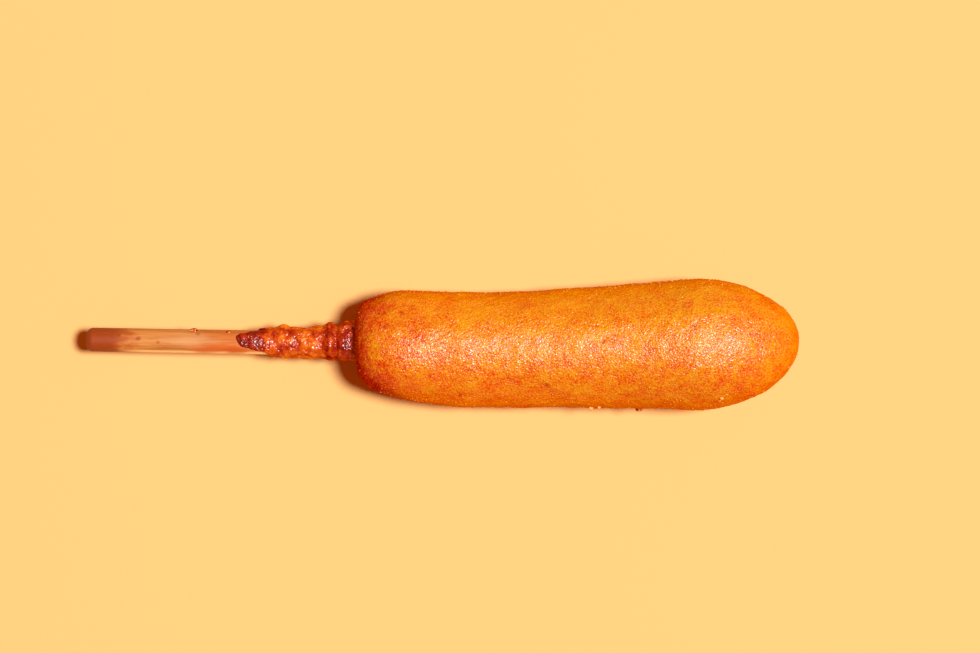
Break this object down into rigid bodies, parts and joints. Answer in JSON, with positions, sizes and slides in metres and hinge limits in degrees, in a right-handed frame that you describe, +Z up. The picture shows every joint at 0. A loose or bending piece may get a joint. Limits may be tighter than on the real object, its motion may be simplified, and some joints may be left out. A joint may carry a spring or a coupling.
{
  "type": "corn dog",
  "caption": "Whole fried corn dog lying on its side: a smooth blunt-ended batter body on a round wooden stick, with a gathered collar of batter where the stick leaves it.",
  "frame": {"origin": "on the surface that the corn dog lies on, under the middle of its box", "axes": "+X runs along the corn dog from the stick's bare end to the rounded nose, +Y is across it, and +Z is up, out of the side that shows"},
  "size_m": [0.1886, 0.0348, 0.034],
  "materials": {
    "batter": "satin",
    "stick": "satin"
  },
  "bodies": {
    "root": {"batter": "batter", "stick": "stick"}
  },
  "joints": []
}
